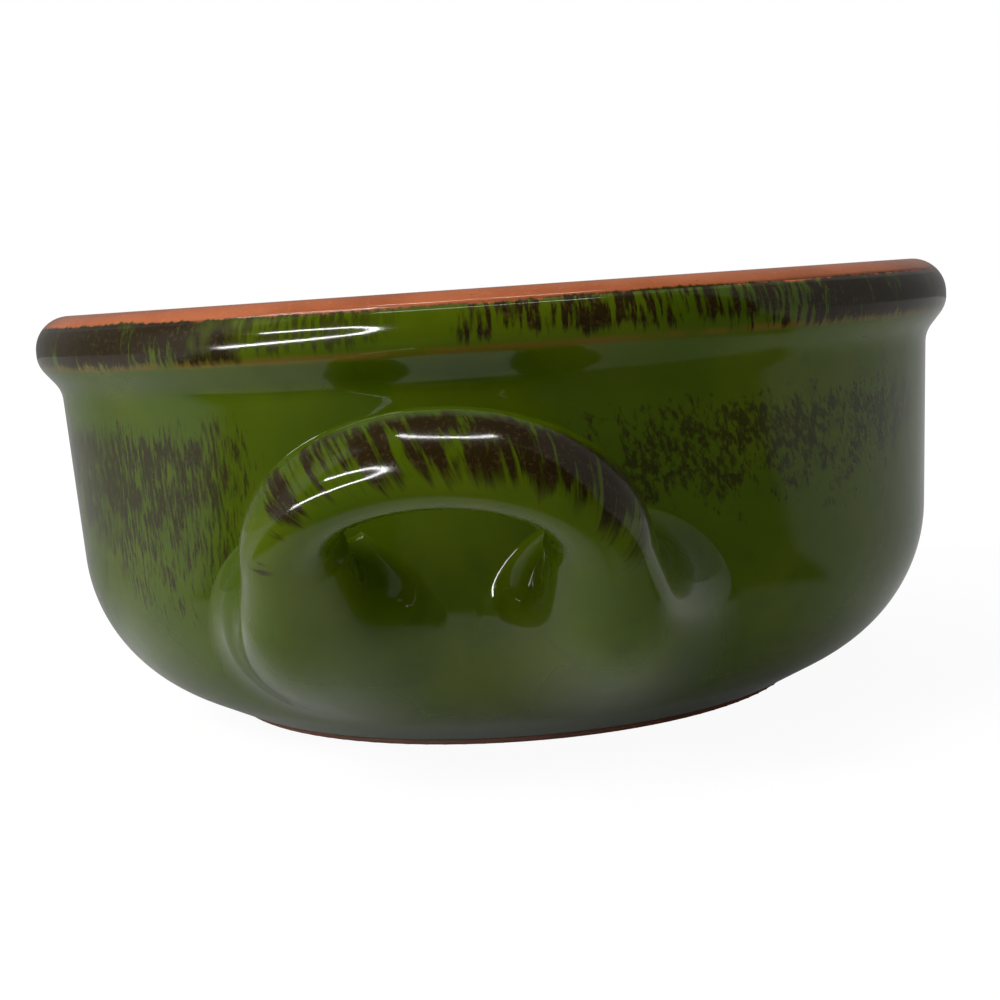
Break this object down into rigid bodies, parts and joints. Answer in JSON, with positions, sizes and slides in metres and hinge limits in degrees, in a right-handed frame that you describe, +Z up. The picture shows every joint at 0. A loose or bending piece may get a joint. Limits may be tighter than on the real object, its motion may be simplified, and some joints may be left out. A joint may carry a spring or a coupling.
{
  "type": "soup crock",
  "caption": "Round glazed terracotta soup crock with a rolled collar rim, a bare foot ring and opposed loop handles, for oven-baked single servings.",
  "frame": {"origin": "middle of the flat foot ring, on the surface the crock stands on", "axes": "+Z up along the bowl's axis, -Y towards the front handle, +Y towards the rear handle, +X to the right seen from the front"},
  "size_m": [0.15, 0.1926, 0.0665],
  "materials": {
    "terracotta": "matte fired clay",
    "slip": "matte fired slip",
    "green_glaze": "gloss green with brown sponge marks",
    "clear_glaze": "gloss clear over terracotta"
  },
  "bodies": {
    "root": {"crock_body": "terracotta", "front_handle": "terracotta", "rear_handle": "terracotta", "front_left_slip": "slip", "front_right_slip": "slip", "rear_left_slip": "slip", "rear_right_slip": "slip", "outer_glaze": "green_glaze", "inner_glaze": "clear_glaze"}
  },
  "joints": []
}
